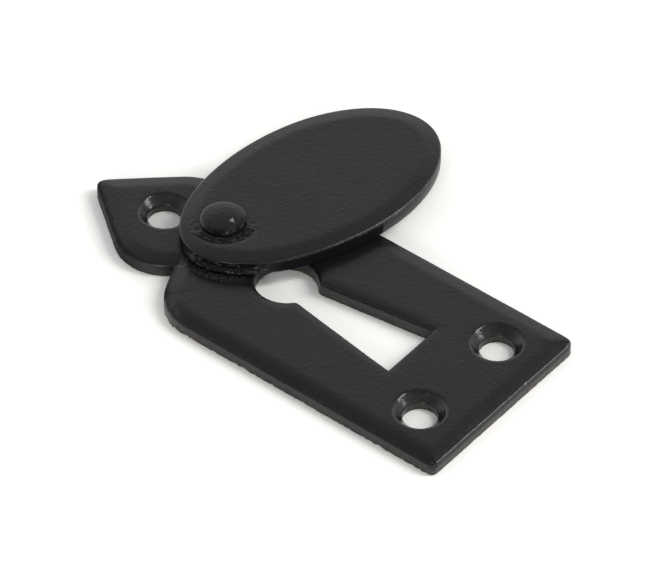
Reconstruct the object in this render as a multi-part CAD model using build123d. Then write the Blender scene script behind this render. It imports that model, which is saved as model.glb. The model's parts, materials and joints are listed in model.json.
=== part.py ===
from build123d import *
from math import asin, atan2, cos, hypot, radians, sin, tan
import os

# Keyhole escutcheon: a flat steel plate with a pointed finial, and an oval cover that swings on a rivet.
# Millimetres. The origin is the centre of the keyhole's round, on the plate's back face.
# +Y runs up the plate to the finial's tip, and +Z points out of its front.

# Backplate's body
plate_width = 32.0
plate_thickness = 2.5
plate_bottom = 39.2  # from the keyhole's round down to the bottom edge
corner_round = 0.8
shoulder_height = 10.7  # from the keyhole's round up to where side and shoulder lines would meet
shoulder_slope = 24.2  # degrees by which a shoulder climbs towards the finial
shoulder_round = 7.5

# Backplate's finial
finial_tip = 35.3  # from the keyhole's round up to where the flanks would meet
finial_width = 19.8
belly_height = 20.3  # from the keyhole's round up to the finial's widest line
belly_radius = 8.0
tip_round = 0.8
finial_lean = 3.2  # degrees by which the finial, cut by hand, leans to the side
lean_height = 17.0  # from the keyhole's round up to where the lean starts

# Broad shallow bevel round the backplate and the cover, with a small break on its outer edge
bevel_width = 2.3
bevel_drop = 0.35
edge_break = 0.15

# Keyhole
keyhole_diameter = 9.0
slot_neck = 5.0  # width of the slot where it leaves the round
slot_foot = 10.1  # width of the slot at its lower end
slot_bottom = 22.55  # from the round's centre down to the slot's lower end
throat_round = 0.6  # on the two corners where the round meets the slot
keyhole_break = 0.25

# Screw holes, countersunk for flat-headed screws
screw_hole_diameter = 5.1
countersink_diameter = 7.7
countersink_angle = 90.0
lower_screw_spacing = 17.3
lower_screw_drop = 31.1  # from the keyhole's round down to the lower pair
top_screw_height = 22.7  # from the keyhole's round up to the hole in the finial

# Pivot, drilled through cover and backplate together, a little to one side of the centre line
pivot_offset = 1.5
pivot_height = 12.9  # from the keyhole's round up to the rivet

# Swing cover, an oval with one blunter end
cover_thickness = 2.5
cover_width = 25.3
cover_pivot_reach = 23.15  # from the oval's widest line to the end beside the rivet
cover_free_reach = 20.4  # from the oval's widest line to the end that swings
cover_drop = 16.0  # from the rivet down to the oval's widest line, with the cover closed
cover_gap = 0.2  # daylight between backplate and cover
cover_rest_swing = 77.45  # degrees from closed to where the cover rests, open

# Rivet
head_diameter = 6.8
head_height = 1.1
head_side = 0.65  # height of the head's upright side
head_round = 0.5  # between its side and its crown
head_gap = 0.1  # daylight between cover and head
journal_diameter = 4.4  # of the stretch that the cover turns on
running_clearance = 0.05  # all round the journal, in the cover's hole
shank_diameter = 3.2
tail_diameter = 5.2  # of the end that is spread into a countersink, flush with the back
tail_angle = 90.0

pivot = Pos(pivot_offset, pivot_height, 0)
cover_base = plate_thickness + cover_gap
head_base = cover_base + cover_thickness + head_gap


def bevelled(outline_at, thickness):
    """Plate with a bevel round its top. outline_at(inset) gives its outline, drawn in by inset."""
    lip = thickness - bevel_drop
    wall_top = lip - edge_break
    full = outline_at(0)
    broken = outline_at(edge_break)
    flat = outline_at(bevel_width)
    wall = extrude(full, amount=wall_top)
    edge = loft([Pos(0, 0, wall_top) * full, Pos(0, 0, lip) * broken], ruled=True)
    crown = loft([Pos(0, 0, lip) * broken, Pos(0, 0, thickness) * flat], ruled=True)
    return wall + edge + crown


def countersunk_hole(hole_diameter, rim_diameter, angle):
    """Cutter for a hole through the backplate, sunk from the plane z = 0 downwards."""
    return CounterSinkHole(hole_diameter / 2, rim_diameter / 2, plate_thickness, angle)


def body_outline(inset):
    """House-shaped outline of the plate below its finial, with rounded shoulders."""
    slope = radians(shoulder_slope)
    half = plate_width / 2 - inset
    bottom = inset - plate_bottom
    apex = shoulder_height + plate_width / 2 * tan(slope) - inset / cos(slope)
    shoulder = apex - half * tan(slope)
    corners = [(-half, bottom), (half, bottom), (half, shoulder), (0, apex), (-half, shoulder)]
    outline = make_face(Polyline(*corners, close=True))
    shoulders = outline.vertices().sort_by(Axis.Y)[2:4]
    return fillet(shoulders, radius=shoulder_round - inset)


def finial_outline(inset):
    """Leaf-shaped outline of the finial: straight flanks from the point, tangent to round bellies."""
    belly_offset = finial_width / 2 - belly_radius
    drop = finial_tip - belly_height
    lean = asin(belly_radius / hypot(belly_offset, drop)) + atan2(belly_offset, drop)
    radius = belly_radius - inset
    flank_end = Vector(belly_offset + radius * cos(lean), belly_height + radius * sin(lean))
    belly_side = Vector(belly_offset + radius, belly_height)
    belly_foot = Vector(belly_offset, belly_height - radius)
    tip = Vector(0, finial_tip - inset / sin(lean))
    foot = Line((0, belly_foot.Y), belly_foot)
    belly = ThreePointArc(belly_foot, belly_side, flank_end)
    flank = Line(flank_end, tip)
    half = foot + belly + flank
    upright = make_face(half + mirror(half, about=Plane.YZ))
    return upright.rotate(Axis((0, lean_height, 0), (0, 0, 1)), finial_lean)


def cover_outline(inset):
    """Oval of two half ellipses that share their widest line, with the cover closed."""
    centre = (0, pivot_height - cover_drop)
    half = cover_width / 2 - inset
    upper = EllipticalCenterArc(centre, half, cover_pivot_reach - inset, 0, arc_size=180)
    lower = EllipticalCenterArc(centre, half, cover_free_reach - inset, 180, arc_size=180)
    return make_face(upper + lower)


def keyhole_outline():
    """Round for the key's shank and flared slot for its bit, with the throat's corners rounded."""
    radius = keyhole_diameter / 2
    flare = (slot_foot - slot_neck) / 2 / (slot_bottom - radius)
    centre_half = slot_neck / 2 - flare * radius
    foot_half = slot_foot / 2
    corners = [(-centre_half, 0), (centre_half, 0), (foot_half, -slot_bottom), (-foot_half, -slot_bottom)]
    outline = Circle(radius) + make_face(Polyline(*corners, close=True))
    throat = outline.vertices().filter_by_position(Axis.Y, -radius, 0)
    return fillet(throat, radius=throat_round)


def make_backplate():
    """Bevelled body and finial in one plate, cut for the keyhole, the screws and the rivet."""
    plate = bevelled(body_outline, plate_thickness) + bevelled(finial_outline, plate_thickness)
    rounded = body_outline(0) + finial_outline(0)
    rounded = fillet(rounded.vertices().group_by(Axis.Y)[0], radius=corner_round)
    rounded = fillet(rounded.vertices().sort_by(Axis.Y)[-1], radius=tip_round)
    plate &= extrude(rounded, amount=plate_thickness)

    plate -= extrude(keyhole_outline(), amount=plate_thickness)
    body_top = plate.faces().group_by(Axis.Z)[-1].sort_by(Axis.Y)[0]
    keyhole_rim = body_top.inner_wires()[0].edges()
    plate = chamfer(keyhole_rim, length=keyhole_break)

    screw_hole = countersunk_hole(screw_hole_diameter, countersink_diameter, countersink_angle)
    screw_hole = Pos(0, 0, plate_thickness) * screw_hole
    for x in (-lower_screw_spacing / 2, lower_screw_spacing / 2):
        plate -= Pos(x, -lower_screw_drop) * screw_hole
    plate -= Pos(0, top_screw_height) * screw_hole

    tail_hole = countersunk_hole(shank_diameter, tail_diameter, tail_angle)
    return plate - pivot * Rot(180, 0, 0) * tail_hole


def make_swing_cover():
    """Bevelled oval on the rivet, swung open about it."""
    cover = Pos(0, 0, cover_base) * bevelled(cover_outline, cover_thickness)
    hole_radius = journal_diameter / 2 + running_clearance
    cover -= pivot * Cylinder(hole_radius, head_base, align=(Align.CENTER, Align.CENTER, Align.MIN))
    return cover.rotate(Axis((pivot_offset, pivot_height, 0), (0, 0, 1)), cover_rest_swing)


def make_pivot_rivet():
    """Turned rivet: low crowned head, journal for the cover, shank, and tail spread flush with the back."""
    head = head_diameter / 2
    journal = journal_diameter / 2
    shank = shank_diameter / 2
    tail = tail_diameter / 2
    tail_top = (tail - shank) / tan(radians(tail_angle / 2))
    crown_rise = head_height - head_side
    crown_radius = (head**2 + crown_rise**2) / (2 * crown_rise)
    top = head_base + head_height
    shoulder = head_base + head_side
    side = Polyline(
        (0, top),
        (0, 0),
        (tail, 0),
        (shank, tail_top),
        (shank, plate_thickness),
        (journal, plate_thickness),
        (journal, head_base),
        (head, head_base),
        (head, shoulder),
    )
    crown = RadiusArc((head, shoulder), (0, top), -crown_radius)
    profile = make_face(side + crown)
    rim = profile.vertices().group_by(Axis.X)[-1].sort_by(Axis.Y)[-1]
    profile = fillet(rim, radius=head_round)
    return pivot * revolve(Plane.XZ * profile, Axis.Z)


os.makedirs("parts", exist_ok=True)
export_step(make_backplate(), "parts/backplate.step")
export_step(make_swing_cover(), "parts/swing_cover.step")
export_step(make_pivot_rivet(), "parts/pivot_rivet.step")
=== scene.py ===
import json
import math

import bmesh
import bpy
import numpy as np
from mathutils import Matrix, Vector, noise
from mathutils.geometry import delaunay_2d_cdt


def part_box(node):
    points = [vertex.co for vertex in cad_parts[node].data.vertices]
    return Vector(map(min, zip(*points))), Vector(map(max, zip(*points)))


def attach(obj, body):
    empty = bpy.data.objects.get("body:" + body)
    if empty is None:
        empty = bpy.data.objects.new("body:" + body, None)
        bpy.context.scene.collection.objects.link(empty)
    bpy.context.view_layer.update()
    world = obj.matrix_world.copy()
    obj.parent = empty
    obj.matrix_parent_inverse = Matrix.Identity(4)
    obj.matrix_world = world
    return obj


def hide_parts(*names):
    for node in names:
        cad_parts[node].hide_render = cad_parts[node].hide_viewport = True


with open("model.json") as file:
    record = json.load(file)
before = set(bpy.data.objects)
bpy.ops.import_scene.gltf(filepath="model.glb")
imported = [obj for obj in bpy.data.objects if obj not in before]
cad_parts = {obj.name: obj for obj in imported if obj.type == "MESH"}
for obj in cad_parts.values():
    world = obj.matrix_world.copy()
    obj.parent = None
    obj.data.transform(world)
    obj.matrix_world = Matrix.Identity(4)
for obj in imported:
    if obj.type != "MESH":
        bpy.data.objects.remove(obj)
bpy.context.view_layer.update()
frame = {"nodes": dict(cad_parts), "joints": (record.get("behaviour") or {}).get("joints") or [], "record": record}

# Backplate
# A flat steel plate with a pointed finial, sheared to shape, filed to a shallow bevel and drilled.
# It is powder coated black with the cover in place, so its edges are soft and a little uneven.
MM = 0.001
PLATE_SPACING = 0.22  # between points along the plate's edges
PLATE_GRID = 0.5  # between points on its top
PLATE_MARGIN = 0.35  # that the grid keeps from the edges
BACK_GRID = 3.0
BACK_MARGIN = 0.6
PLATE_LIP = 0.4  # radius of the coated edge between wall and bevel
PLATE_FOOT = 0.05  # radius of the edge round the back
BEVEL_DROP = 0.35
BEVEL_FLAT = 1.85  # from the edge to where the bevel starts to level out
BEVEL_END = 2.75  # from the edge to where it is level
SHEAR_HEIGHT = 1.15  # of the torn lower part of a sheared wall, from the back
SHEAR_LUMP = 0.6  # from one tear to the next
SHEAR_DEPTH = 0.05
SHEAR_FADE = 0.3  # height over which the tears begin
FOOT_TEAR = 4.0  # how many times deeper the tears are at the very foot, on the rolled sides
FOOT_HEIGHT = 0.5
ROLL_WAY = np.array([-0.87, -0.49])  # plan direction of the sides whose upper edges the shears rolled over
ROLL_DEPTH = 0.3  # how far they leave the upright there
ROLL_DROP = 0.42
ROLL_SHARES = (0.5, 0.8)  # little and much rolling
ROLL_FADE = (1.8, 0.8)  # how far from the edge the bevel follows the drop, for those
ROLL_SHOULDER = np.array([-14.2, 9.6])  # plan place of the shoulder that is rolled over most
SHOULDER_REACH = 4.0
SHOULDER_ROLL = 0.4  # how much more it is rolled
GLINT_BAND = (0.3, 0.6, 1.4, 1.8)  # heights up the wall of a painted glint by the rolled shoulder: bare steel put where the wall catches light, fading in and out
GLINT_SHARE = 0.5
WEAR_SIZE = 2.0  # of the spots where the lip is rubbed
WEAR_SHARE = 0.5
KEYHOLE_RIM = (0.55, 0.95)  # width and height of the keyhole's rounded rim
PUNCH_WIDTH = 2.0  # of the metal round the keyhole that was drawn down as it was punched
PUNCH_DROP = 0.12
PUNCH_END = (-22.0, -19.0)  # heights on the plate between which that fades, at the slot's foot
PUNCH_LEFT = 0.3  # share of it that is left there
BORE_RIM = 0.12  # radius of the edge between screw hole and countersink
SINK_RADIUS = 3.85  # of a countersink, where its cone would meet the flat
SINK_RIM = 0.8  # radius of the soft edge between cone and flat
SINK_SHEEN_WAY = (0.91, 0.42)  # plan direction of the painted sheen in each cone: the cone's far side, which faces the camera, is coloured brown to paint the reflection it shows
SINK_SHEEN_SHARE = 0.4
SINK_GLOSS = 0.6  # how far the coat pooled in the cones
TAIL_CONE = 1.0  # depth of the rivet's countersink in the back
FLAT_RING = 0.1  # from a sharp edge to a ring that keeps the face beside it flat
# knocks on the edge: plan place, radius and depth
KNOCKS = [(5.0, -39.2, 0.4, 0.08), (-16.0, -38.2, 0.4, 0.1), (-15.8, -39.0, 0.6, 0.12)]
# corner and tip that were filed rounder: plan place, and passes of smoothing along the edge there
BLUNTED = [((16.0, -39.2), 14), ((-1.0, 34.8), 30)]
BLUNT_REACH = 3.0
FINIAL_FOOT = (11.0, 14.0)  # heights on the plate between which the rolling fades, towards the finial
FINIAL_ROLL = 0.2  # share of it that is left there
DRY_WAY = np.array([-0.84, 0.54])  # plan direction of the finial's flank that got little coat
FLANK_DRY = 0.7  # how far that flank is matt
FLANK_PLAIN = 0.7  # and how far it lacks the brown of the torn walls
DRY_BAND = (1.15, 1.35, 1.6, 1.85)  # heights of a matt, darker band along the lower end's wall, where it fades in and out
DRY_BAND_SHARE = 0.35
# plan line of pits in the coat, by the cover's end
PITTED = [(-5.3, 12.5), (-5.6, 9.5), (-4.1, 7.0), (-2.2, 4.9)]
PIT_REACH = 1.3
PIT_SIZE = 0.45
PIT_DEPTH = 0.16
PIT_GRID = 0.2
PIT_MARGIN = 0.3
WAVE_SIZE = 7.0  # of the slow unevenness of a piece that was dressed by hand
WAVE_DEPTH = 0.05
UNEVEN_SHARES = (1, 1, 0.3)  # of an unevenness, across, along and upwards
COAT_ROUGHNESS = 0.26


def underside_loops(node):
    """Closed outlines of a node's underside in millimetres, metal to their left, the longest first."""
    shape = bmesh.new()
    shape.from_mesh(frame["nodes"][node].data)
    bmesh.ops.remove_doubles(shape, verts=shape.verts, dist=1e-7)
    lowest = min(v.co.z for v in shape.verts)
    under = {f for f in shape.faces if all(v.co.z - lowest < 1e-6 for v in f.verts)}
    following = {}
    for face in under:
        for corner in face.loops:
            if sum(f in under for f in corner.edge.link_faces) == 1:
                # the underside's faces look down, so seen from above the metal is on the other side
                following[corner.link_loop_next.vert] = corner.vert
    loops = []
    while following:
        start, point = following.popitem()
        loop = [start, point]
        while point in following:
            point = following.pop(point)
            loop.append(point)
        loop = np.array([v.co.xy for v in loop[:-1]]) / MM
        # it starts at its lowest point, so that each run gives the same loop
        loops.append(np.roll(loop, -np.lexsort(np.round(loop.T, 4))[0], 0))
    shape.free()
    return sorted(loops, key=lambda loop: (-round(loop_length(loop), 2), *np.round(loop[0], 3)))


def loop_length(loop):
    return np.linalg.norm(np.roll(loop, -1, 0) - loop, axis=1).sum()


def evenly(loop, spacing):
    """The loop with points at about that spacing, its sharp corners kept and its facets smoothed."""
    sharp_turn = math.radians(40)
    smoothing_passes = 4
    ahead = np.roll(loop, -1, 0) - loop
    behind = loop - np.roll(loop, 1, 0)
    turn = np.arctan2(behind[:, 0] * ahead[:, 1] - behind[:, 1] * ahead[:, 0], (behind * ahead).sum(1))
    corners = np.flatnonzero(np.abs(turn) > sharp_turn)
    sharp = len(corners) > 0
    loop = np.roll(loop, -corners[0], 0) if sharp else loop
    marks = list(corners - corners[0]) if sharp else [0]
    points = []
    for first, last in zip(marks, marks[1:] + [len(loop)]):
        stretch = np.vstack([loop, loop[:1]])[first:last + 1]
        along = np.append(0, np.cumsum(np.linalg.norm(np.diff(stretch, axis=0), axis=1)))
        count = max(2, round(along[-1] / spacing))
        at = np.linspace(0, along[-1], count + 1)
        even = np.column_stack([np.interp(at, along, stretch[:, k]) for k in (0, 1)])
        for _ in range(smoothing_passes):
            even[1:-1] = (even[:-2] + 2 * even[1:-1] + even[2:]) / 4
        points.append(even[:-1])
    return np.vstack(points)


def into_metal(loop, depth):
    """The loop moved by depth to its left, with mitred corners."""
    ahead = np.roll(loop, -1, 0) - loop
    ahead /= np.linalg.norm(ahead, axis=1, keepdims=True)
    behind = np.roll(ahead, 1, 0)
    mean = ahead + behind
    mean /= np.linalg.norm(mean, axis=1, keepdims=True)
    half_turn = np.clip((mean * ahead).sum(1), 0.5, 1)
    left = np.column_stack([-mean[:, 1], mean[:, 0]])
    return loop + left * (depth / half_turn)[:, None]


def inside(points, loop):
    """Which of the points lie within the loop."""
    x, y = points[:, :1], points[:, 1:]
    a, b = loop, np.roll(loop, -1, 0)
    straddles = (a[:, 1] > y) != (b[:, 1] > y)
    with np.errstate(divide="ignore", invalid="ignore"):
        crossing = a[:, 0] + (y - a[:, 1]) * (b[:, 0] - a[:, 0]) / (b[:, 1] - a[:, 1])
    return (straddles & (x < crossing)).sum(1) % 2 == 1


def distance_to(points, path, closed=True):
    """Distance from each point to a path."""
    a = path if closed else path[:-1]
    b = np.roll(path, -1, 0) if closed else path[1:]
    run = b - a
    nearest = np.full(len(points), np.inf)
    for chunk in np.array_split(np.arange(len(points)), max(1, len(points) // 2000)):
        offset = points[chunk, None, :] - a
        share = np.clip((offset * run).sum(2) / (run * run).sum(1), 0, 1)
        gap = np.linalg.norm(offset - share[:, :, None] * run, axis=2)
        nearest[chunk] = gap.min(1)
    return nearest


def rounding(radius, start, end, steps):
    """Points of an arc as (depth into the metal, rise), from a wall at 0 degrees to a level face at 90."""
    angles = np.radians(np.linspace(start, end, steps))
    return [(radius * (1 - math.cos(a)), radius * math.sin(a)) for a in angles]


def foot_of_wall(radius):
    """Rounded edge round an underside, from the flat face up to the wall."""
    return [(depth, radius - rise) for depth, rise in reversed(rounding(radius, 0, 90, 4))]


def straight_wall(low, high):
    """Rows of points up a wall between two heights, without its ends."""
    rows = max(2, round((high - low) / PLATE_SPACING))
    return [(0.0, z) for z in np.linspace(low, high, rows + 1)[1:-1]]


def grid_points(loops, spacing, margin):
    """Staggered grid of points in the metal between the loops, clear of them by the margin."""
    low, high = loops[0].min(0), loops[0].max(0)
    rows = np.arange(low[1], high[1], spacing * math.sqrt(3) / 2)
    points = [
        (x + (i % 2) * spacing / 2, y)
        for i, y in enumerate(rows)
        for x in np.arange(low[0], high[0], spacing)
    ]
    points = np.array(points)
    keep = inside(points, loops[0])
    for hole in loops[1:]:
        keep &= ~inside(points, hole)
    for loop in loops:
        keep &= distance_to(points, loop) > margin
    return points[keep]


def with_finer(points, finer, near):
    """The grid with its points replaced by the finer grid's, where near says so."""
    return np.vstack([points[~near(points)], finer[near(finer)]])


def flat_face(loops, points):
    """Triangles over the metal between the loops, as indices into the loops' points and then the rest."""
    flat = np.vstack(loops + [points])
    edges = []
    start = 0
    for loop in loops:
        edges += [(start + i, start + (i + 1) % len(loop)) for i in range(len(loop))]
        start += len(loop)
    made = delaunay_2d_cdt([Vector(p) for p in flat], edges, [], 1, 1e-6)
    source = [origin[0] for origin in made[3]]
    triangles = np.array([[source[i] for i in face] for face in made[2]])
    centres = flat[triangles].mean(1)
    keep = inside(centres, loops[0])
    for hole in loops[1:]:
        keep &= ~inside(centres, hole)
    triangles = triangles[keep]
    a, b, c = (flat[triangles[:, k]] for k in range(3))
    area = (b[:, 0] - a[:, 0]) * (c[:, 1] - a[:, 1]) - (b[:, 1] - a[:, 1]) * (c[:, 0] - a[:, 0])
    triangles[area < 0] = triangles[area < 0][:, ::-1]
    return triangles


def plate_mesh(loops, walls, base, top_points):
    """Points in millimetres and faces of a plate. walls has each loop's profile of (depth, height) from the
    back up. Also gives the number of points that lie on walls, and those of the top face."""
    points = []
    faces = []
    count = 0
    first_rings = []
    last_rings = []
    for loop, profile in zip(loops, walls):
        n = len(loop)
        for k, (depth, height) in enumerate(profile):
            ring = into_metal(loop, depth)
            points.append(np.column_stack([ring, np.full(n, base + height)]))
            if k:
                low = count + (k - 1) * n
                high = low + n
                for i in range(n):
                    j = (i + 1) % n
                    faces.append((low + i, low + j, high + j, high + i))
        first_rings.append(np.arange(count, count + n))
        last_rings.append(np.arange(count + (len(profile) - 1) * n, count + len(profile) * n))
        count += n * len(profile)
    on_walls = count
    so_far = np.vstack(points)
    back_points = grid_points([so_far[ring, :2] for ring in first_rings], BACK_GRID, BACK_MARGIN)
    for rings, extra, top in ((first_rings, back_points, False), (last_rings, top_points, True)):
        triangles = flat_face([so_far[ring, :2] for ring in rings], extra)
        index = np.concatenate(rings + [np.arange(count, count + len(extra))])
        triangles = index[triangles]
        faces += [tuple(t) for t in (triangles if top else triangles[:, ::-1])]
        height = so_far[rings[0][0], 2]
        points.append(np.column_stack([extra, np.full(len(extra), height)]))
        count += len(extra)
    return np.vstack(points), faces, on_walls, np.arange(count - len(top_points), count)


def bevel_height(distance):
    """How far the bevel lies below the flat top, by distance from the plate's edge."""
    blend = np.clip((distance - BEVEL_FLAT) / (BEVEL_END - BEVEL_FLAT), 0, 1)
    level = (BEVEL_FLAT + BEVEL_END) / 2
    slope = BEVEL_DROP / level
    straight = np.minimum(distance, BEVEL_FLAT)
    # area under a slope that eases from full to none
    eased = (BEVEL_END - BEVEL_FLAT) * (blend - blend**3 + blend**4 / 2)
    return BEVEL_DROP - slope * (straight + eased)


noise.seed_set(1)  # or else the offsets follow the clock


def uneven(points, size, depth, seed):
    """Smooth random offsets."""
    shift = Vector((seed * 17.3, seed * 5.7, seed * 11.9))
    return np.array([noise.noise_vector(Vector(p) / size + shift) for p in points]) * depth


def store_marks(mesh, marks):
    """Gives a mesh a value for each point, by name."""
    for mark, values in marks.items():
        stored = mesh.attributes.new(mark, "FLOAT", "POINT")
        stored.data.foreach_set("value", np.asarray(values, np.float32))


def add_piece(name, points, faces, marks, material, body, replaced):
    """Makes a piece from points in millimetres, smooth shaded, and says what it rides on and stands for.
    The material reads the marks."""
    mesh = bpy.data.meshes.new(name)
    mesh.from_pydata((np.asarray(points) * MM).tolist(), [], [tuple(int(i) for i in f) for f in faces])
    mesh.shade_smooth()
    store_marks(mesh, marks)
    mesh.materials.append(material)
    piece = bpy.data.objects.new(name, mesh)
    bpy.context.scene.collection.objects.link(piece)
    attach(piece, body)
    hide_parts(replaced)


def linear(hex_colour):
    """Linear colour of an sRGB hex value."""
    parts = [int(hex_colour[i:i + 2], 16) / 255 for i in (1, 3, 5)]
    return tuple(c / 12.92 if c <= 0.04045 else ((c + 0.055) / 1.055) ** 2.4 for c in parts) + (1.0,)


def add_node(tree, kind, settings, inputs):
    """Adds a node with its settings. An input is a value, or the socket or node that it is linked to."""
    made = tree.nodes.new(kind)
    for name, value in settings.items():
        setattr(made, name, value)
    for name, value in inputs.items():
        if isinstance(value, bpy.types.Node):
            value = value.outputs[0]
        if isinstance(value, bpy.types.NodeSocket):
            tree.links.new(value, made.inputs[name])
        else:
            made.inputs[name].default_value = value
    return made


def satin_black_powder_coat(name, roughness):
    """Satin black powder coat on steel: near black with a cool sheen, and orange peel that breaks its
    reflections up. Where it pooled it is glossier, and where little reached it is dry and matt.
    On torn edges it is thin and brown, and knocks bare the steel. The brown also paints a sheen in
    the countersinks, the steel a glint on one shoulder, and the matt mark shade on the cover's wall."""
    peel_size = 0.55  # millimetres from one swelling of the coat to the next
    peel_depth = 0.045
    grain_size = 0.25  # coarser than the real grain, so that it shows
    patch_size = 1.3  # of the places where the coat is thin
    cloud_size = 7.0  # over which the sheen changes
    material = bpy.data.materials.new(name)
    material.use_nodes = True
    tree = material.node_tree
    tree.nodes.clear()
    place = add_node(tree, "ShaderNodeTexCoord", {}, {}).outputs["Object"]
    peel, grain, patch, cloud = (
        add_node(tree, "ShaderNodeTexNoise", {}, {
            "Vector": place, "Scale": 1 / (size * MM), "Detail": detail})
        for size, detail in ((peel_size, 2.0), (grain_size, 1.0), (patch_size, 3.0), (cloud_size, 3.0))
    )
    thin, worn, pooled, dry = (
        add_node(tree, "ShaderNodeAttribute", {"attribute_name": mark}, {}).outputs["Fac"]
        for mark in ("thin_coat_and_sheen", "worn_edge_and_glint", "pooled_coat", "dry_coat_and_shade")
    )
    height = add_node(tree, "ShaderNodeMath", {"operation": "MULTIPLY_ADD"}, {0: grain, 1: 0.25, 2: peel})
    bump = add_node(tree, "ShaderNodeBump", {}, {
        "Height": height, "Distance": peel_depth * MM, "Strength": 1.0})
    patchy = add_node(tree, "ShaderNodeMapRange", {}, {
        "Value": patch, "From Min": 0.35, "From Max": 0.6, "To Min": 0.0, "To Max": 1.0})
    # the brown also paints a sheen in the countersinks
    bare = add_node(tree, "ShaderNodeMath", {"operation": "MULTIPLY", "use_clamp": True}, {
        0: thin, 1: patchy})
    colour = add_node(tree, "ShaderNodeMix", {"data_type": "RGBA"}, {
        0: bare, 6: linear("#17181a"), 7: linear("#3a352b")})
    rubbed = add_node(tree, "ShaderNodeMapRange", {}, {
        "Value": peel, "From Min": 0.45, "From Max": 0.6, "To Min": 0.0, "To Max": 1.0})
    # the steel also paints a glint on the plate's shoulder
    steel = add_node(tree, "ShaderNodeMath", {"operation": "MULTIPLY", "use_clamp": True}, {
        0: worn, 1: rubbed})
    shown = add_node(tree, "ShaderNodeMix", {"data_type": "RGBA"}, {
        0: steel, 6: colour.outputs[2], 7: linear("#8d8a84")})
    sheen = add_node(tree, "ShaderNodeMapRange", {}, {
        "Value": cloud, "From Min": 0.3, "From Max": 0.7,
        "To Min": roughness - 0.03, "To Max": roughness + 0.03})
    gloss = add_node(tree, "ShaderNodeMath", {"operation": "MULTIPLY_ADD"}, {
        0: pooled, 1: -0.1, 2: sheen})
    dull = add_node(tree, "ShaderNodeMath", {"operation": "MULTIPLY_ADD"}, {0: bare, 1: 0.2, 2: gloss})
    # the matt mark also paints shade on the cover's wall over the plate
    matt = add_node(tree, "ShaderNodeMath", {"operation": "MULTIPLY_ADD"}, {0: dry, 1: 0.4, 2: dull})
    shine = add_node(tree, "ShaderNodeMapRange", {}, {
        "Value": dry, "From Min": 0.0, "From Max": 1.0, "To Min": 0.5, "To Max": 0.0})
    surface = add_node(tree, "ShaderNodeBsdfPrincipled", {}, {
        "Base Color": shown.outputs[2], "Metallic": steel, "Roughness": matt,
        "Specular IOR Level": shine, "Normal": bump, "IOR": 1.5})
    add_node(tree, "ShaderNodeOutputMaterial", {}, {"Surface": surface})
    return material


plate_low, plate_high = (np.array(corner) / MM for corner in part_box("backplate"))
plate_thickness = plate_high[2]
mounts = {m["name"]: m for m in frame["record"]["mounts"]}
outline, keyhole, *round_holes = [evenly(loop, PLATE_SPACING) for loop in underside_loops("backplate")]
for corner, passes in BLUNTED:
    for _ in range(passes):
        softer = (np.roll(outline, 1, 0) + 2 * outline + np.roll(outline, -1, 0)) / 4
        blunt = np.clip(2 - 2 * np.linalg.norm(outline - corner, axis=1) / BLUNT_REACH, 0, 1)
        outline += (softer - outline) * blunt[:, None]
tail_hole = max(round_holes, key=loop_length)
screw_holes = [hole for hole in round_holes if hole is not tail_hole]
lip_top = 90 - math.degrees(math.atan(2 * BEVEL_DROP / (BEVEL_FLAT + BEVEL_END)))
lip = rounding(PLATE_LIP, 0, lip_top, 8)
lip_base = plate_thickness - bevel_height(lip[-1][0]) - lip[-1][1]
edge_wall = foot_of_wall(PLATE_FOOT) + straight_wall(PLATE_FOOT, lip_base)
edge_wall += [(depth, lip_base + rise) for depth, rise in lip]
rim_width, rim_height = KEYHOLE_RIM
rim_base = plate_thickness - rim_height
keyhole_wall = foot_of_wall(PLATE_FOOT) + straight_wall(PLATE_FOOT, rim_base)
keyhole_wall += [
    (rim_width * depth, rim_base + rim_height * rise) for depth, rise in rounding(1.0, 0, 90, 8)
]
screw_radius = mounts["top_screw"]["dims"]["r_mm"]
sink_depth = SINK_RADIUS - screw_radius
sink_foot = plate_thickness - sink_depth
# for each millimetre of radius, from an edge that turns by 45 degrees to where its rounding starts
edge_reach = math.tan(math.radians(22.5))
rim_reach = SINK_RIM * edge_reach
cone_start = BORE_RIM * edge_reach * math.sqrt(0.5)
cone_end = sink_depth - rim_reach * math.sqrt(0.5)
screw_wall = foot_of_wall(PLATE_FOOT) + straight_wall(PLATE_FOOT, sink_foot - BORE_RIM)
screw_wall += [(0.0, sink_foot - BORE_RIM / 2), (cone_start / 3, sink_foot)]
screw_wall += [(d, sink_foot + d) for d in np.linspace(cone_start + 0.02, cone_end, 6)[:-1]]
screw_wall += [
    (sink_depth + rim_reach - SINK_RIM + depth, plate_thickness - SINK_RIM + rise)
    for depth, rise in rounding(SINK_RIM, 45, 90, 9)
]
tail_wall = [(FLAT_RING, 0.0), (0.0, 0.0), (-TAIL_CONE, TAIL_CONE), (-TAIL_CONE, plate_thickness)]
plate_loops = [outline, keyhole, tail_hole] + screw_holes
plate_walls = [edge_wall, keyhole_wall, tail_wall] + [screw_wall] * len(screw_holes)
top_edges = [into_metal(loop, wall[-1][0]) for loop, wall in zip(plate_loops, plate_walls)]
pitted = np.array(PITTED)
plate_grid = with_finer(
    grid_points(top_edges, PLATE_GRID, PLATE_MARGIN), grid_points(top_edges, PIT_GRID, PIT_MARGIN),
    lambda points: distance_to(points, pitted, closed=False) < 2 * PIT_REACH)
plate_points, plate_faces, plate_on_walls, plate_top = plate_mesh(plate_loops, plate_walls, 0.0, plate_grid)
torn = np.zeros(len(plate_points))
torn[:plate_on_walls] = np.clip((SHEAR_HEIGHT - plate_points[:plate_on_walls, 2]) / SHEAR_FADE, 0, 1)
pooled = np.zeros(len(plate_points))
ring_start = 0
for loop, wall in zip(plate_loops, plate_walls):
    ring_end = ring_start + len(loop) * len(wall)
    pooled[ring_start:ring_end] = SINK_GLOSS * (wall is screw_wall)
    torn[ring_start:ring_end] *= float(wall is not tail_wall)
    ring_start = ring_end
edge_count = len(outline) * len(edge_wall)
edge = plate_points[:edge_count]
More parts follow.
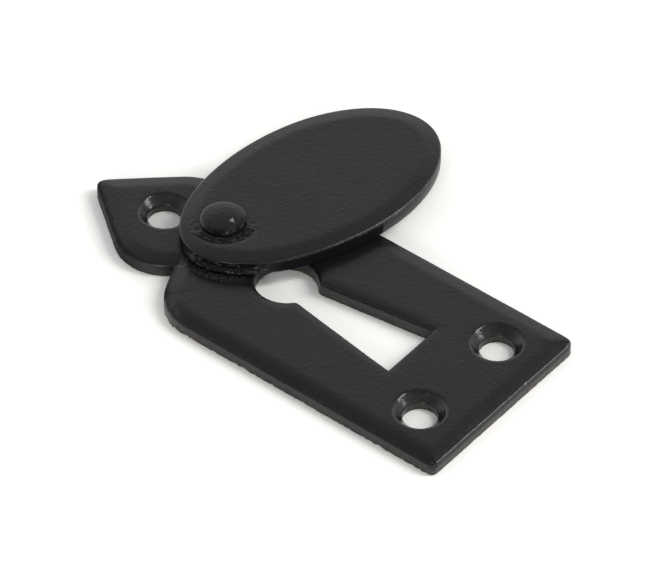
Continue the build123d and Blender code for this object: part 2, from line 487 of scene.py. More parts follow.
outline_inward = into_metal(outline, 1.0) - outline
by_shoulder = np.exp(-((np.linalg.norm(outline - ROLL_SHOULDER, axis=1) / SHOULDER_REACH) ** 2))
rolled = np.clip(-outline_inward @ ROLL_WAY, 0, 1) + SHOULDER_ROLL * by_shoulder
rolled *= np.interp(outline[:, 1], FINIAL_FOOT, (1, FINIAL_ROLL))
inward = np.tile(outline_inward, (len(edge_wall), 1))
up_wall = np.clip((edge[:, 2] - SHEAR_HEIGHT) / (lip_base + PLATE_LIP - SHEAR_HEIGHT), 0, 1)
roll = np.tile(rolled, len(edge_wall)) * up_wall**1.5
edge[:, :2] += inward * (ROLL_DEPTH * roll)[:, None]
edge[:, 2] -= ROLL_DROP * roll
# worn marks rubbed and knocked lips, and also carries the painted glint on the shoulder
worn = np.zeros(len(plate_points))
on_lip = np.clip(6 * (up_wall - 0.8), 0, 1) * (np.arange(edge_count) < edge_count - 2 * len(outline))
worn[:edge_count] = on_lip * np.clip(uneven(edge, WEAR_SIZE, 1.0, 7)[:, 0] - 0.2, 0, WEAR_SHARE)
# a painted glint: bare steel in a band up the shoulder's wall, where it catches light
painted_glint = np.tile(by_shoulder, len(edge_wall)) * np.interp(edge[:, 2], GLINT_BAND, (0, 1, 1, 0))
worn[:edge_count] = np.maximum(worn[:edge_count], GLINT_SHARE * painted_glint)
for x, y, radius, depth in KNOCKS:
    struck = np.exp(-((np.linalg.norm(edge[:, :2] - (x, y), axis=1) / radius) ** 2))
    struck *= np.clip((edge[:, 2] - SHEAR_HEIGHT) / (lip_base - SHEAR_HEIGHT), 0, 1)
    edge[:, :2] += inward * (depth * struck)[:, None]
    worn[:edge_count] = np.maximum(worn[:edge_count], struck**2)
top = plate_points[plate_top]
to_outline = distance_to(top[:, :2], outline)
to_keyhole = distance_to(top[:, :2], keyhole)
top[:, 2] = plate_thickness - bevel_height(to_outline)
beside = np.flatnonzero(to_outline < 4 * ROLL_FADE[0])
nearest = [int(np.argmin(((outline - p) ** 2).sum(1))) for p in top[beside, :2]]
fade = np.interp(rolled[nearest], ROLL_SHARES, ROLL_FADE)
top[beside, 2] -= ROLL_DROP * rolled[nearest] * np.exp(-to_outline[beside] / fade)
drawn_down = PUNCH_DROP * np.interp(top[:, 1], PUNCH_END, (PUNCH_LEFT, 1))
top[:, 2] -= drawn_down * np.clip(1 - to_keyhole / PUNCH_WIDTH, 0, 1) ** 1.5
pits = np.exp(-((distance_to(top[:, :2], pitted, closed=False) / PIT_REACH) ** 2))
top[:, 2] -= PIT_DEPTH * pits * np.clip(0.5 + uneven(top, PIT_SIZE, 1.0, 4)[:, 2], 0, 1)
plate_points[plate_top] = top
keyhole_ring = slice(edge_count, edge_count + len(keyhole) * len(keyhole_wall))
ring = plate_points[keyhole_ring]
drawn_down = PUNCH_DROP * np.interp(ring[:, 1], PUNCH_END, (PUNCH_LEFT, 1))
ring[:, 2] -= drawn_down * np.clip(ring[:, 2] - SHEAR_HEIGHT, 0, 1)
plate_points[keyhole_ring] = ring
plate_points += uneven(plate_points, WAVE_SIZE, WAVE_DEPTH, 1) * UNEVEN_SHARES
tears = torn.copy()
at_foot = np.tile(np.clip(3 * rolled - 1.5, 0, 1), len(edge_wall))
at_foot *= np.clip(1 - plate_points[:edge_count, 2] / FOOT_HEIGHT, 0, 1)
tears[:edge_count] *= 1 + (FOOT_TEAR - 1) * at_foot
plate_points += uneven(plate_points, SHEAR_LUMP, SHEAR_DEPTH, 2) * tears[:, None]
plate_points = np.clip(plate_points, plate_low, plate_high)
plate_coat = satin_black_powder_coat("satin_black_powder_coat_plate", COAT_ROUGHNESS)
dry = np.zeros(len(plate_points))
flank = np.clip(3 * (-inward @ DRY_WAY - 0.6), 0, 1) * (edge[:, 1] > FINIAL_FOOT[0])
dry[:edge_count] = FLANK_DRY * flank
# thin marks the thin coat on torn walls, and below it also carries a painted sheen in the cones
thin = torn.copy()
thin[:edge_count] *= 1 - FLANK_PLAIN * flank
ring_start = edge_count + len(keyhole) * len(keyhole_wall) + len(tail_hole) * len(tail_wall)
# in each cone, a painted sheen: brown colour on the side facing the camera, in place of the reflection seen there
for hole in screw_holes:
    ring_end = ring_start + len(hole) * len(screw_wall)
    out = plate_points[ring_start:ring_end] - (*hole.mean(0), sink_foot)
    towards = np.clip(out[:, :2] @ SINK_SHEEN_WAY / np.linalg.norm(out[:, :2], axis=1), 0, 1)
    painted_sheen = SINK_SHEEN_SHARE * towards**8 * (out[:, 2] > 0)
    thin[ring_start:ring_end] = np.maximum(thin[ring_start:ring_end], painted_sheen)
    ring_start = ring_end
# a matt, darker band up the walls that face the lower end
darker_band = np.interp(edge[:, 2], DRY_BAND, (0, 1, 1, 0)) * np.clip(inward[:, 1], 0, 1)
dry[:edge_count] = np.maximum(dry[:edge_count], DRY_BAND_SHARE * darker_band)
plate_marks = {"thin_coat_and_sheen": thin, "pooled_coat": pooled, "dry_coat_and_shade": dry, "worn_edge_and_glint": worn}
add_piece(
    "backplate_coated", plate_points, plate_faces, plate_marks, plate_coat,
    body="plate", replaced="backplate")

# Swing cover
# An oval steel leaf with the same filed bevel, bored near one end to turn on the rivet.
# It hangs shut over the keyhole by its own weight, and here it is swung aside.
COVER_SPACING = 0.22
COVER_MARGIN = 0.25  # that the grids on its top keep from the edges
COVER_LIP = 0.35
COVER_WEAR = 0.4
COVER_MATT_AND_SHADE = (0.6, 0.95)  # how far the coat on its wall is matt, clear of the plate and over it; over the plate this is painted shade, darkening the wall as the dark plate's reflection would
ROUGH_PLACE = (-3.9, 7.6)  # middle of the edge where the coat pulled and gathered as it was baked
ROUGH_REACH = (5.0, 8.0)  # from there to where the roughness starts to fade, and to where it ends
ROUGH_LUMP = 0.6  # from one lump to the next
ROUGH_DEPTH = 0.22
ROUGH_TOP = 0.9  # share of the wall's height that is lumpy
GROOVE = 0.45  # depth of the dark hollow that it left under the lip
GROOVE_HEIGHTS = (0, 0.2, 0.45, 0.97, 1.08)  # where that deepens and ends, as shares of the wall's height
PITTED_RING = (3.2, 5.2)  # radii round the rivet between which the coat is pitted, on the near side
NEAR_WAY = (-0.775, -0.632)  # plan direction of that side
FINE_REACH = 0.5  # by which the finer grid goes beyond the pits
cover_low, cover_high = (np.array(corner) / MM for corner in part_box("swing_cover"))
cover_thickness = cover_high[2] - cover_low[2]
cover_edge, pivot_hole = [evenly(loop, COVER_SPACING) for loop in underside_loops("swing_cover")]
cover_lip = rounding(COVER_LIP, 0, lip_top, 8)
cover_lip_base = cover_thickness - bevel_height(cover_lip[-1][0]) - cover_lip[-1][1]
cover_wall = foot_of_wall(PLATE_FOOT) + straight_wall(PLATE_FOOT, cover_lip_base)
cover_wall += [(depth, cover_lip_base + rise) for depth, rise in cover_lip]
cover_loops = [cover_edge, pivot_hole]
cover_walls = [cover_wall, [(0.0, 0.0), (0.0, cover_thickness / 2), (0.0, cover_thickness)]]
top_edges = [into_metal(loop, wall[-1][0]) for loop, wall in zip(cover_loops, cover_walls)]
pivot = np.array(frame["joints"][0]["pos_m"][:2]) / MM
cover_grid = with_finer(
    grid_points(top_edges, PLATE_GRID, COVER_MARGIN), grid_points(top_edges, PIT_GRID, COVER_MARGIN),
    lambda points: np.linalg.norm(points - pivot, axis=1) < PITTED_RING[1] + FINE_REACH)
cover_points, cover_faces, _, cover_top = plate_mesh(cover_loops, cover_walls, cover_low[2], cover_grid)
top = cover_points[cover_top]
top[:, 2] = cover_high[2] - bevel_height(distance_to(top[:, :2], cover_edge))
from_pivot = top[:, :2] - pivot
reach = np.linalg.norm(from_pivot, axis=1)
ring_middle = sum(PITTED_RING) / 2
pits = np.exp(-((2 * (reach - ring_middle) / (PITTED_RING[1] - PITTED_RING[0])) ** 2))
pits *= np.clip(0.2 + from_pivot @ NEAR_WAY / reach, 0, 1)
top[:, 2] -= PIT_DEPTH * pits * np.clip(0.5 + uneven(top, PIT_SIZE, 1.0, 8)[:, 2], 0, 1)
cover_points[cover_top] = top
cover_points += uneven(cover_points, WAVE_SIZE, WAVE_DEPTH, 3) * UNEVEN_SHARES
edge_count = len(cover_edge) * len(cover_wall)
edge = cover_points[:edge_count]
inward = np.tile(into_metal(cover_edge, 1.0) - cover_edge, (len(cover_wall), 1))
from_rough = np.linalg.norm(edge[:, :2] - ROUGH_PLACE, axis=1)
rough = np.interp(from_rough, ROUGH_REACH, (1, 0))
up_wall = (edge[:, 2] - cover_low[2]) / cover_lip_base
hollow = GROOVE * np.interp(up_wall, GROOVE_HEIGHTS, (0, 0.1, 1, 1, 0))
edge[:, :2] += inward * (hollow * rough)[:, None]
lumps = rough * (up_wall < ROUGH_TOP)
edge += uneven(edge, ROUGH_LUMP, ROUGH_DEPTH, 5) * lumps[:, None] * UNEVEN_SHARES
cover_points = np.clip(cover_points, cover_low, cover_high)
cover_worn = np.zeros(len(cover_points))
on_lip = (up_wall > 1) * (np.arange(edge_count) < edge_count - 2 * len(cover_edge)) * (1 - rough)
cover_worn[:edge_count] = on_lip * np.clip(uneven(edge, WEAR_SIZE, 1.0, 9)[:, 0] - 0.2, 0, COVER_WEAR)
cover_matt_and_shade = np.zeros(len(cover_points))
# the wall is matt; over the plate it is made nearly without reflection, a painted shade for the dark plate it
# mirrors
clear_wall = COVER_MATT_AND_SHADE[0] * np.interp(up_wall, (0, 0.4, 0.95, 1.05), (0, 0.4, 1, 0))
painted_shade_wall = COVER_MATT_AND_SHADE[1] * np.interp(up_wall, (0.95, 1.05), (1, 0))
cover_matt_and_shade[:edge_count] = np.where(inside(edge[:, :2], outline), painted_shade_wall, clear_wall) * (1 - rough)
cover_coat = satin_black_powder_coat("satin_black_powder_coat_cover", COAT_ROUGHNESS)
cover_marks = {"worn_edge_and_glint": cover_worn, "dry_coat_and_shade": cover_matt_and_shade}
add_piece(
    "swing_cover_coated", cover_points, cover_faces, cover_marks, cover_coat,
    body="cover", replaced="swing_cover")

# Pivot rivet
# A turned steel rivet: its low head holds the cover on, and its tail is spread into the plate's back.
# It was set by hand, so its top leans a little and bears a hammer mark, and it is coated with the rest.
RIVET_STEPS = 96
HEAD_GAP = 0.1  # between cover and head
HEAD_SIDE = 0.65  # height of the head's upright side
HEAD_ROUND = 0.7  # between its side and its crown
HEAD_EDGE = 0.05  # of the chamfer round its underside
HEAD_LEAN = 0.06  # fall of its top for each millimetre towards its near side, which is lower
HAMMER_MARK = (0.23, -1.2)  # plan place of its upper edge's middle, from the pivot
MARK_LENGTH = 0.9  # from there down to its deepest point
MARK_HALF_WIDTH = 0.6  # at its upper edge, narrowing from there
MARK_DEPTH = 0.57
HEAD_WAVE = (1.6, 0.05)  # size and depth of the slow unevenness of its top
HEAD_LUMP = 0.7  # from one lump to the next, where coat gathered on its near side
HEAD_LUMP_DEPTH = 0.12
LUMPY_FROM = 0.6  # share of the head's radius from where its near side is lumpy
DRY_FROM = 0.5  # and from where its coat is dry
DRY_SPOT = 1.0  # size of the spots where it is less dry
CROWN_WET = (2.3, 0.4)  # radius of the crown that isn't dry, and the fade round it
RIVET_ROUGHNESS = 0.2
JOURNAL_RADIUS = 2.2
SHANK_RADIUS = 1.6
TAIL_RADIUS = 2.58
rivet_low, rivet_high = (np.array(corner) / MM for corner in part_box("pivot_rivet"))
head_radius = (rivet_high[0] - rivet_low[0]) / 2
head_base = cover_high[2] + HEAD_GAP
crown_rise = rivet_high[2] - head_base - HEAD_SIDE
crown_radius = (head_radius**2 + crown_rise**2) / (2 * crown_rise)
crown_centre = rivet_high[2] - crown_radius
# the shoulder's arc touches the upright side and the crown
shoulder_centre = head_radius - HEAD_ROUND
shoulder_height = crown_centre + math.sqrt((crown_radius - HEAD_ROUND) ** 2 - shoulder_centre**2)
crown_span = math.asin(shoulder_centre / (crown_radius - HEAD_ROUND))
side = [(TAIL_RADIUS - FLAT_RING, 0.0), (TAIL_RADIUS, 0.0)]
side += [(SHANK_RADIUS, TAIL_RADIUS - SHANK_RADIUS), (SHANK_RADIUS, plate_thickness)]
side += [(JOURNAL_RADIUS, plate_thickness), (JOURNAL_RADIUS, head_base)]
side += [(head_radius - HEAD_EDGE, head_base), (head_radius, head_base + HEAD_EDGE)]
side += [
    (shoulder_centre + HEAD_ROUND * math.cos(a), shoulder_height + HEAD_ROUND * math.sin(a))
    for a in np.linspace(0, math.pi / 2 - crown_span, 10)
]
side += [
    (crown_radius * math.sin(a), crown_centre + crown_radius * math.cos(a))
    for a in np.linspace(crown_span, 0.01, 24)[1:]
]
angles = np.linspace(0, 2 * math.pi, RIVET_STEPS, endpoint=False)
rivet_points = [(0, 0, 0)]
for r, z in side:
    rivet_points += [(r * math.cos(a), r * math.sin(a), z) for a in angles]
rivet_points.append((0, 0, rivet_high[2]))
rivet_faces = []
for i in range(RIVET_STEPS):
    j = (i + 1) % RIVET_STEPS
    rivet_faces.append((0, 1 + j, 1 + i))
    for k in range(len(side) - 1):
        low = 1 + k * RIVET_STEPS
        high = low + RIVET_STEPS
        rivet_faces.append((low + i, low + j, high + j, high + i))
    last = 1 + (len(side) - 1) * RIVET_STEPS
    rivet_faces.append((last + i, last + j, len(rivet_points) - 1))
rivet_points = np.array(rivet_points)
up_head = np.clip((rivet_points[:, 2] - head_base) / (rivet_high[2] - head_base), 0, 1)
across, down = (rivet_points[:, :2] - HAMMER_MARK).T * [[1], [-1]]
mark = np.interp(down, (0, MARK_LENGTH, 1.3 * MARK_LENGTH), (0, 1, 0))
mark_half = MARK_HALF_WIDTH * np.clip(1.2 - down / MARK_LENGTH, 0.2, 1.2)
mark *= np.clip(1.3 * (1 - (across / mark_half) ** 4), 0, 1)
low_side = rivet_points[:, :2] @ NEAR_WAY / head_radius
rivet_points[:, 2] -= up_head * HEAD_LEAN * head_radius * (1 + low_side)
rivet_points[:, 2] -= up_head * MARK_DEPTH * mark
rivet_points[:, 2] += up_head * uneven(rivet_points, *HEAD_WAVE, 6)[:, 2]
near_side = np.maximum(low_side, -rivet_points[:, 1] / head_radius)
lumpy = np.clip(3 * (near_side - LUMPY_FROM), 0, 1) * (rivet_points[:, 2] > head_base + 0.01)
rivet_dry = np.clip(4 * (near_side - DRY_FROM), 0, 1)
rivet_dry *= np.clip(0.8 + uneven(rivet_points, DRY_SPOT, 0.8, 11)[:, 0], 0, 1)
rivet_dry *= np.clip((np.linalg.norm(rivet_points[:, :2], axis=1) - CROWN_WET[0]) / CROWN_WET[1], 0, 1)
rivet_points += uneven(rivet_points, HEAD_LUMP, HEAD_LUMP_DEPTH, 10) * lumpy[:, None]
# no lump stands out beyond the head's own cylinder
off_axis = np.linalg.norm(rivet_points[:, :2], axis=1).clip(1e-6)
rivet_points[:, :2] *= np.minimum(1, head_radius / off_axis)[:, None]
rivet_points[:, 2] = np.minimum(rivet_points[:, 2], rivet_high[2])
on_head = rivet_points[:, 2] > head_base - 0.3
rivet_points[on_head, 2] = np.maximum(rivet_points[on_head, 2], head_base)
rivet_points += (pivot[0], pivot[1], 0)
rivet_coat = satin_black_powder_coat("satin_black_powder_coat_rivet", RIVET_ROUGHNESS)
rivet_marks = {"dry_coat_and_shade": rivet_dry}
add_piece(
    "pivot_rivet_coated", rivet_points, rivet_faces, rivet_marks, rivet_coat,
    body="plate", replaced="pivot_rivet")

# Coat that gathered
# As it was baked, the coat ran together beside the cover's end and round the rivet's foot.
# It set there as low broken ridges and rough grains, matt on the cover and glossier on the plate.
RIDGE_LUMP = 0.5  # from one swelling of a ridge to the next
GRAIN_SPACING = 0.07  # along a path, from one grain to the next
DENT_SIZE = 0.25  # of the dents in the grains
DENT_DEPTH = 0.1
PLATE_RIDGES = ((0.4, 0.8, 0.12), (0.9, 0.5, 0.08))  # distance from the cover's edge, width and height
PLATE_SINK = 0.02  # of those into the plate
KEYHOLE_CLEAR = 1.0  # that they keep from the keyhole's round
RIVET_RIDGES = ((3.9, 0.6, 0.12), (4.6, 0.6, 0.08))  # radius round the rivet, width and height
RIVET_ARC = (165, 285)  # degrees
WALL_GRAINS = ((0.35, 0.5), (0.75, 0.6))  # height on the cover's wall, and size of the grains
WALL_INSET = 0.2


def gathered_coat_tree():
    """Broken ridges of coat along paths, with grains strewn beside them. A path's points carry sizes."""
    tree = bpy.data.node_groups.new("gathered_coat", "GeometryNodeTree")
    tree.interface.new_socket("Path", in_out="INPUT", socket_type="NodeSocketGeometry")
    for name in ("Ridge Lump", "Grain Spacing", "Dent Size", "Dent Depth"):
        tree.interface.new_socket(name, in_out="INPUT", socket_type="NodeSocketFloat")
    tree.interface.new_socket("Seed", in_out="INPUT", socket_type="NodeSocketInt")
    tree.interface.new_socket("Coat", in_out="INPUT", socket_type="NodeSocketMaterial")
    tree.interface.new_socket("Geometry", in_out="OUTPUT", socket_type="NodeSocketGeometry")
    given = add_node(tree, "NodeGroupInput", {}, {}).outputs
    sizes = ("face_height", "ridge_width", "ridge_height", "grain_size", "grain_spread", "grain_rise")
    carried = {
        name: add_node(tree, "GeometryNodeInputNamedAttribute", {"data_type": "FLOAT"}, {"Name": name})
        for name in (*sizes, "dryness")
    }
    path = add_node(tree, "GeometryNodeMeshToCurve", {}, {"Mesh": given["Path"]})
    # the ridge: a round section along the path, flattened on to the face and sunk into it between its lumps
    half_width = add_node(tree, "ShaderNodeMath", {"operation": "MULTIPLY"}, {
        0: carried["ridge_width"], 1: 0.5})
    section = add_node(tree, "GeometryNodeCurvePrimitiveCircle", {}, {"Resolution": 12, "Radius": 1.0})
    sweep = add_node(tree, "GeometryNodeCurveToMesh", {}, {
        "Curve": path, "Profile Curve": section, "Scale": half_width, "Fill Caps": True})
    where = add_node(tree, "GeometryNodeInputPosition", {}, {})
    per_lump = add_node(tree, "ShaderNodeMath", {"operation": "DIVIDE"}, {0: 1.0, 1: given["Ridge Lump"]})
    lumps = add_node(tree, "ShaderNodeTexNoise", {}, {"Vector": where, "Scale": per_lump, "Detail": 2.0})
    swell = add_node(tree, "ShaderNodeMapRange", {}, {
        "Value": lumps, "From Min": 0.35, "From Max": 0.65, "To Min": 0.1, "To Max": 1.0})
    flatness = add_node(tree, "ShaderNodeMath", {"operation": "DIVIDE"}, {
        0: carried["ridge_height"], 1: half_width})
    rise = add_node(tree, "ShaderNodeMath", {"operation": "MULTIPLY"}, {0: flatness, 1: swell})
    parts = add_node(tree, "ShaderNodeSeparateXYZ", {}, {0: where}).outputs
    above = add_node(tree, "ShaderNodeMath", {"operation": "SUBTRACT"}, {
        0: parts["Z"], 1: carried["face_height"]})
    swollen = add_node(tree, "ShaderNodeMath", {"operation": "MULTIPLY_ADD"}, {
        0: above, 1: rise, 2: carried["face_height"]})
    gap = add_node(tree, "ShaderNodeMath", {"operation": "SUBTRACT"}, {0: swell, 1: 1.0})
    sunk = add_node(tree, "ShaderNodeMath", {"operation": "MULTIPLY_ADD"}, {
        0: gap, 1: carried["ridge_height"], 2: swollen})
    ridge = add_node(tree, "GeometryNodeSetPosition", {}, {
        "Geometry": sweep,
        "Position": add_node(tree, "ShaderNodeCombineXYZ", {}, {0: parts["X"], 1: parts["Y"], 2: sunk})})
    # the grains: small beads of any size and turn
    spots = add_node(tree, "GeometryNodeCurveToPoints", {"mode": "LENGTH"}, {
        "Curve": path, "Length": given["Grain Spacing"]})
    aside = add_node(tree, "FunctionNodeRandomValue", {"data_type": "FLOAT_VECTOR"}, {
        0: (-1.0, -1.0, -1.0), 1: (1.0, 1.0, 1.0), "Seed": given["Seed"]})
    reach = add_node(tree, "ShaderNodeCombineXYZ", {}, {
        0: carried["grain_spread"], 1: carried["grain_spread"], 2: carried["grain_rise"]})
    strew = add_node(tree, "ShaderNodeVectorMath", {"operation": "MULTIPLY"}, {0: aside, 1: reach})
    strewn = add_node(tree, "GeometryNodeSetPosition", {}, {
        "Geometry": spots.outputs["Points"], "Offset": strew})
    bead = add_node(tree, "GeometryNodeMeshUVSphere", {}, {"Segments": 8, "Rings": 5, "Radius": 0.5})
    share = add_node(tree, "FunctionNodeRandomValue", {"data_type": "FLOAT"}, {
        2: 0.35, 3: 1.0, "Seed": given["Seed"]})
    size = add_node(tree, "ShaderNodeMath", {"operation": "MULTIPLY"}, {
        0: share.outputs[1], 1: carried["grain_size"]})
    low = add_node(tree, "ShaderNodeMath", {"operation": "MULTIPLY"}, {0: size, 1: 0.65})
    turn = add_node(tree, "FunctionNodeRandomValue", {"data_type": "FLOAT_VECTOR"}, {
        0: (0.0, 0.0, 0.0), 1: (0.4, 0.4, 6.28), "Seed": given["Seed"]})
    beads = add_node(tree, "GeometryNodeInstanceOnPoints", {}, {
        "Points": strewn, "Instance": bead.outputs["Mesh"], "Rotation": turn,
        "Scale": add_node(tree, "ShaderNodeCombineXYZ", {}, {0: size, 1: size, 2: low})})
    both = tree.nodes.new("GeometryNodeJoinGeometry")
    tree.links.new(ridge.outputs[0], both.inputs[0])
    tree.links.new(beads.outputs[0], both.inputs[0])
    solid = add_node(tree, "GeometryNodeRealizeInstances", {}, {"Geometry": both})
    # dents over all of it, and places where the coat is matt
    per_dent = add_node(tree, "ShaderNodeMath", {"operation": "DIVIDE"}, {0: 1.0, 1: given["Dent Size"]})
    dents = add_node(tree, "ShaderNodeTexNoise", {}, {"Vector": where, "Scale": per_dent, "Detail": 1.0})
    either_way = add_node(tree, "ShaderNodeVectorMath", {"operation": "SUBTRACT"}, {
        0: dents.outputs["Color"], 1: (0.5, 0.5, 0.5)})
    dented = add_node(tree, "GeometryNodeSetPosition", {}, {
        "Geometry": solid,
        "Offset": add_node(tree, "ShaderNodeVectorMath", {"operation": "SCALE"}, {
            0: either_way, "Scale": given["Dent Depth"]})})
    dry = add_node(tree, "ShaderNodeMapRange", {}, {
        "Value": lumps, "From Min": 0.4, "From Max": 0.55, "To Min": 0.3, "To Max": 1.0})
    dried = add_node(tree, "ShaderNodeMath", {"operation": "MULTIPLY"}, {0: dry, 1: carried["dryness"]})
    marked = add_node(tree, "GeometryNodeStoreNamedAttribute", {"data_type": "FLOAT", "domain": "POINT"}, {
        "Geometry": dented, "Name": "dry_coat_and_shade", "Value": dried})
    smooth = add_node(tree, "GeometryNodeSetShadeSmooth", {}, {"Geometry": marked})
    coated = add_node(tree, "GeometryNodeSetMaterial", {}, {
        "Geometry": smooth, "Material": given["Coat"]})
    add_node(tree, "NodeGroupOutput", {}, {"Geometry": coated})
    return tree


def gathered_coat(name, paths, seed, material, body):
    """Lays coat along paths and makes it one plain mesh. A path is plan points, a height, sizes and shares.
    Its grains get smaller towards its ends."""
    points = []
    edges = []
    carried = {}
    for line, height, sizes, shares in paths:
        taper = np.sin(np.pi * np.linspace(0.03, 0.97, len(line))) ** 0.5
        edges += [(len(points) + i, len(points) + i + 1) for i in range(len(line) - 1)]
        points += [(x * MM, y * MM, height * MM) for x, y in line]
        for label, value in {"face_height": height, **sizes}.items():
            along = taper if label == "grain_size" else np.ones(len(line))
            carried.setdefault(label, []).extend(value * MM * along)
        for label, value in shares.items():
            carried.setdefault(label, []).extend([value] * len(line))
    mesh = bpy.data.meshes.new(name + "_paths")
    mesh.from_pydata(points, edges, [])
    store_marks(mesh, carried)
    piece = bpy.data.objects.new(name, mesh)
    bpy.context.scene.collection.objects.link(piece)
    laid = piece.modifiers.new("gathered_coat", "NODES")
    laid.node_group = gathered_tree
    values = {
        "Ridge Lump": RIDGE_LUMP * MM, "Grain Spacing": GRAIN_SPACING * MM, "Dent Size": DENT_SIZE * MM,
        "Dent Depth": DENT_DEPTH * MM, "Seed": seed, "Coat": material}
    for socket in gathered_tree.interface.items_tree:
        if socket.in_out == "INPUT" and socket.name in values:
            laid[socket.identifier] = values[socket.name]
    made = bpy.data.meshes.new_from_object(piece.evaluated_get(bpy.context.evaluated_depsgraph_get()))
    piece.modifiers.remove(laid)
    piece.data = made
    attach(piece, body)


gathered_tree = gathered_coat_tree()
rough_stretch = np.linalg.norm(cover_edge - ROUGH_PLACE, axis=1) < ROUGH_REACH[0]
ends_at = int(np.flatnonzero(rough_stretch & ~np.roll(rough_stretch, -1))[0])
rough_stretch = np.roll(rough_stretch, -ends_at - 1)
plate_paths = []
for away, width, height in PLATE_RIDGES:
    line = np.roll(into_metal(cover_edge, -away), -ends_at - 1, 0)[rough_stretch]
    line = line[np.linalg.norm(line, axis=1) > mounts["keyhole"]["dims"]["r_mm"] + KEYHOLE_CLEAR]
    sizes = {"ridge_width": width, "ridge_height": height}
    sizes |= {"grain_size": 0.42, "grain_spread": 0.4, "grain_rise": 0.0}
    plate_paths.append((line, plate_thickness - PLATE_SINK, sizes, {"dryness": 0.1, "thin_coat_and_sheen": 0.0}))
gathered_coat("gathered_coat_plate", plate_paths, 3, plate_coat, "plate")
cover_paths = []
for radius, width, height in RIVET_RIDGES:
    angles = np.radians(np.linspace(*RIVET_ARC, 80))
    line = pivot + radius * np.column_stack([np.cos(angles), np.sin(angles)])
    sizes = {"ridge_width": width, "ridge_height": height}
    sizes |= {"grain_size": 0.45, "grain_spread": 0.12, "grain_rise": 0.0}
    cover_paths.append((line, cover_high[2], sizes, {"dryness": 0.75, "thin_coat_and_sheen": 0.0}))
for height, grain in WALL_GRAINS:
    line = np.roll(into_metal(cover_edge, WALL_INSET), -ends_at - 1, 0)[rough_stretch]
    sizes = {"ridge_width": 0.3, "ridge_height": 0.1}
    sizes |= {"grain_size": grain, "grain_spread": 0.15, "grain_rise": 0.25}
    cover_paths.append((line, cover_low[2] + height, sizes, {"dryness": 0.65, "thin_coat_and_sheen": 0.4}))
gathered_coat("gathered_coat_cover", cover_paths, 4, cover_coat, "cover")

# Floor
# A plain white table that the plate lies on, back down.
floor_mesh = bpy.data.meshes.new("floor")
half = 3.0
sunk = -0.02 * MM  # a hair below the plate's back, so that the two don't share a plane
corners = [(-half, -half, sunk), (half, -half, sunk), (half, half, sunk), (-half, half, sunk)]
floor_mesh.from_pydata(corners, [], [(0, 1, 2, 3)])
floor = bpy.data.objects.new("floor", floor_mesh)
bpy.context.scene.collection.objects.link(floor)
paper = bpy.data.materials.new("matt_white_paper")
paper.use_nodes = True
tree = paper.node_tree
tree.nodes.clear()
sheet = add_node(tree, "ShaderNodeBsdfPrincipled", {}, {
    "Base Color": linear("#f3f2ee"), "Roughness": 0.9, "Specular IOR Level": 0.2})
# to the eye and in reflections it is brighter, as in an exposure that burns the paper out to white
burnt_out = add_node(tree, "ShaderNodeBsdfDiffuse", {}, {"Color": linear("#c7c6c2")})
brighter = add_node(tree, "ShaderNodeAddShader", {}, {0: sheet, 1: burnt_out})
seen = add_node(tree, "ShaderNodeLightPath", {}, {}).outputs
by_eye = add_node(tree, "ShaderNodeMath", {"operation": "MAXIMUM"}, {
    0: seen["Is Camera Ray"], 1: seen["Is Glossy Ray"]})
by_any = add_node(tree, "ShaderNodeMath", {"operation": "MAXIMUM"}, {
    0: by_eye, 1: seen["Is Transmission Ray"]})
shown = add_node(tree, "ShaderNodeMixShader", {}, {0: by_any, 1: sheet, 2: brighter})
add_node(tree, "ShaderNodeOutputMaterial", {}, {"Surface": shown})
floor_mesh.materials.append(paper)

# Light
# A white room that is brightest near the horizon, and two softboxes, beside the plate and by the camera.
world = bpy.data.worlds.new("white_room")
bpy.context.scene.world = world
world.use_nodes = True
tree = world.node_tree
tree.nodes.clear()
way = add_node(tree, "ShaderNodeTexCoord", {}, {}).outputs["Generated"]
rise = add_node(tree, "ShaderNodeSeparateXYZ", {}, {0: way}).outputs["Z"]
ramp = add_node(tree, "ShaderNodeValToRGB", {}, {"Fac": rise})
# brightness by height: 0 is the horizon and 1 is overhead
stops = [(0.0, 1.0), (0.34, 1.0), (0.53, 0.82), (0.69, 0.57), (0.80, 0.36), (0.95, 0.25)]
while len(ramp.color_ramp.elements) < len(stops):
    ramp.color_ramp.elements.new(0.5)
for element, (at, level) in zip(ramp.color_ramp.elements, stops):
    element.position = at
    element.color = (level, level, level * 1.03, 1)
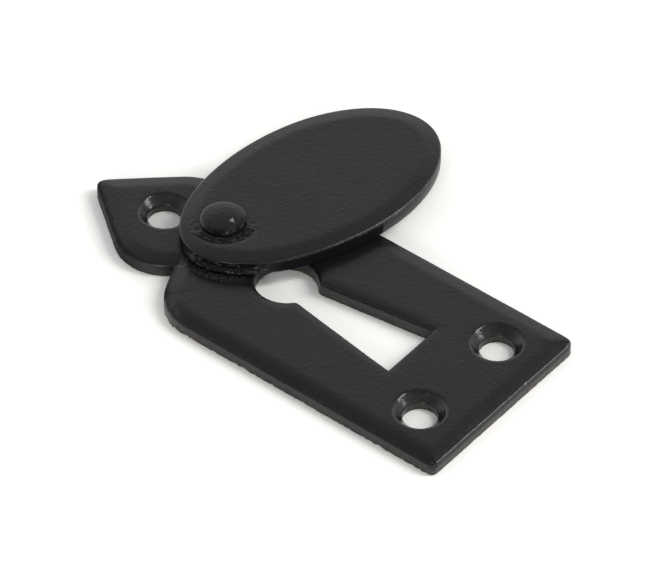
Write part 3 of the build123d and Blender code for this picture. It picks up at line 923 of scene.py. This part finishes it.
# the side that the camera stands on is darker
camera_side = add_node(tree, "ShaderNodeVectorMath", {"operation": "DOT_PRODUCT"}, {0: way, 1: (-1, 0, 0)})
level = add_node(tree, "ShaderNodeMapRange", {}, {
    "Value": camera_side.outputs["Value"],
    "From Min": 0.15, "From Max": 0.8, "To Min": 1.0, "To Max": 0.45})
glow = add_node(tree, "ShaderNodeBackground", {}, {"Color": ramp, "Strength": level})
add_node(tree, "ShaderNodeOutputWorld", {}, {"Surface": glow})


def softbox(name, azimuth, elevation, distance, width, height, radiance):
    """A rectangular softbox that faces the object, with its brightness as the radiance of its front."""
    a, e = math.radians(azimuth), math.radians(elevation)
    way = Vector((math.cos(a) * math.cos(e), math.sin(a) * math.cos(e), math.sin(e)))
    lamp = bpy.data.lights.new(name, "AREA")
    lamp.shape = "RECTANGLE"
    lamp.size = width
    lamp.size_y = height
    lamp.energy = radiance * math.pi * width * height
    made = bpy.data.objects.new(name, lamp)
    made.location = way * distance
    made.rotation_mode = "QUATERNION"
    made.rotation_quaternion = way.to_track_quat("Z", "Y")
    bpy.context.scene.collection.objects.link(made)


softbox("softbox_beside", azimuth=-50, elevation=44, distance=1.2, width=0.28, height=0.75, radiance=8.0)
softbox("softbox_front", azimuth=-160, elevation=24, distance=1.2, width=0.22, height=0.22, radiance=14.0)

# Camera
# It looks down on the plate from beside its lower end, with a long lens.
CAMERA_TARGET = Vector((3.81, -5.30, 0.0)) * MM
CAMERA_AZIMUTH = -50.825
CAMERA_ELEVATION = 43.344
CAMERA_DISTANCE = 777.25 * MM
FOCAL_PIXELS = 5469.8
IMAGE_WIDTH = 665
a, e = math.radians(CAMERA_AZIMUTH), math.radians(CAMERA_ELEVATION)
back = Vector((math.sin(a) * math.cos(e), -math.cos(a) * math.cos(e), math.sin(e)))
lens = bpy.data.cameras.new("camera")
lens.sensor_width = 36.0
lens.lens = FOCAL_PIXELS / IMAGE_WIDTH * lens.sensor_width
camera = bpy.data.objects.new("camera", lens)
camera.location = CAMERA_TARGET + back * CAMERA_DISTANCE
camera.rotation_mode = "QUATERNION"
camera.rotation_quaternion = (-back).to_track_quat("-Z", "Y")
bpy.context.scene.collection.objects.link(camera)
bpy.context.scene.camera = camera
bpy.context.scene.view_settings.view_transform = "Standard"
